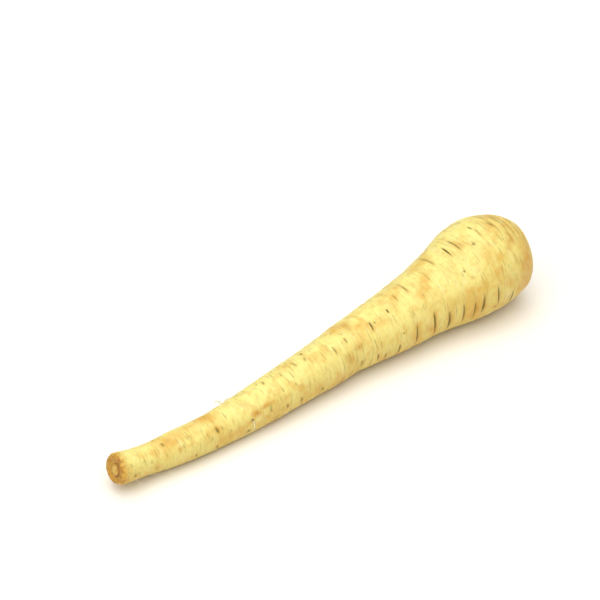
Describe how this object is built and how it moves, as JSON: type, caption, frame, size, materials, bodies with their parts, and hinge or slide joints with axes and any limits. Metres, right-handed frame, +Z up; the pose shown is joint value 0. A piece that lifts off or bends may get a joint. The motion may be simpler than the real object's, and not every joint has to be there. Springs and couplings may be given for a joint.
{
  "type": "parsnip",
  "caption": "Fresh parsnip on its side: tapering cream taproot with creased, slit skin, a cut tail, a sunken crown and a short green leaf-stalk stub.",
  "frame": {"origin": "on the surface that the root rests on, below the middle of its bounding box", "axes": "+X along the root from the cut tail to the crown, +Z up from the surface"},
  "size_m": [0.273, 0.0522, 0.0507],
  "materials": {
    "taproot_skin": "fresh root skin, cream with golden patches, slightly waxy",
    "leaf_stalk_green": "fresh green plant stalk, moist cut end"
  },
  "bodies": {
    "root": {"taproot": "taproot_skin", "leaf_stalk_stub": "leaf_stalk_green"}
  },
  "joints": []
}
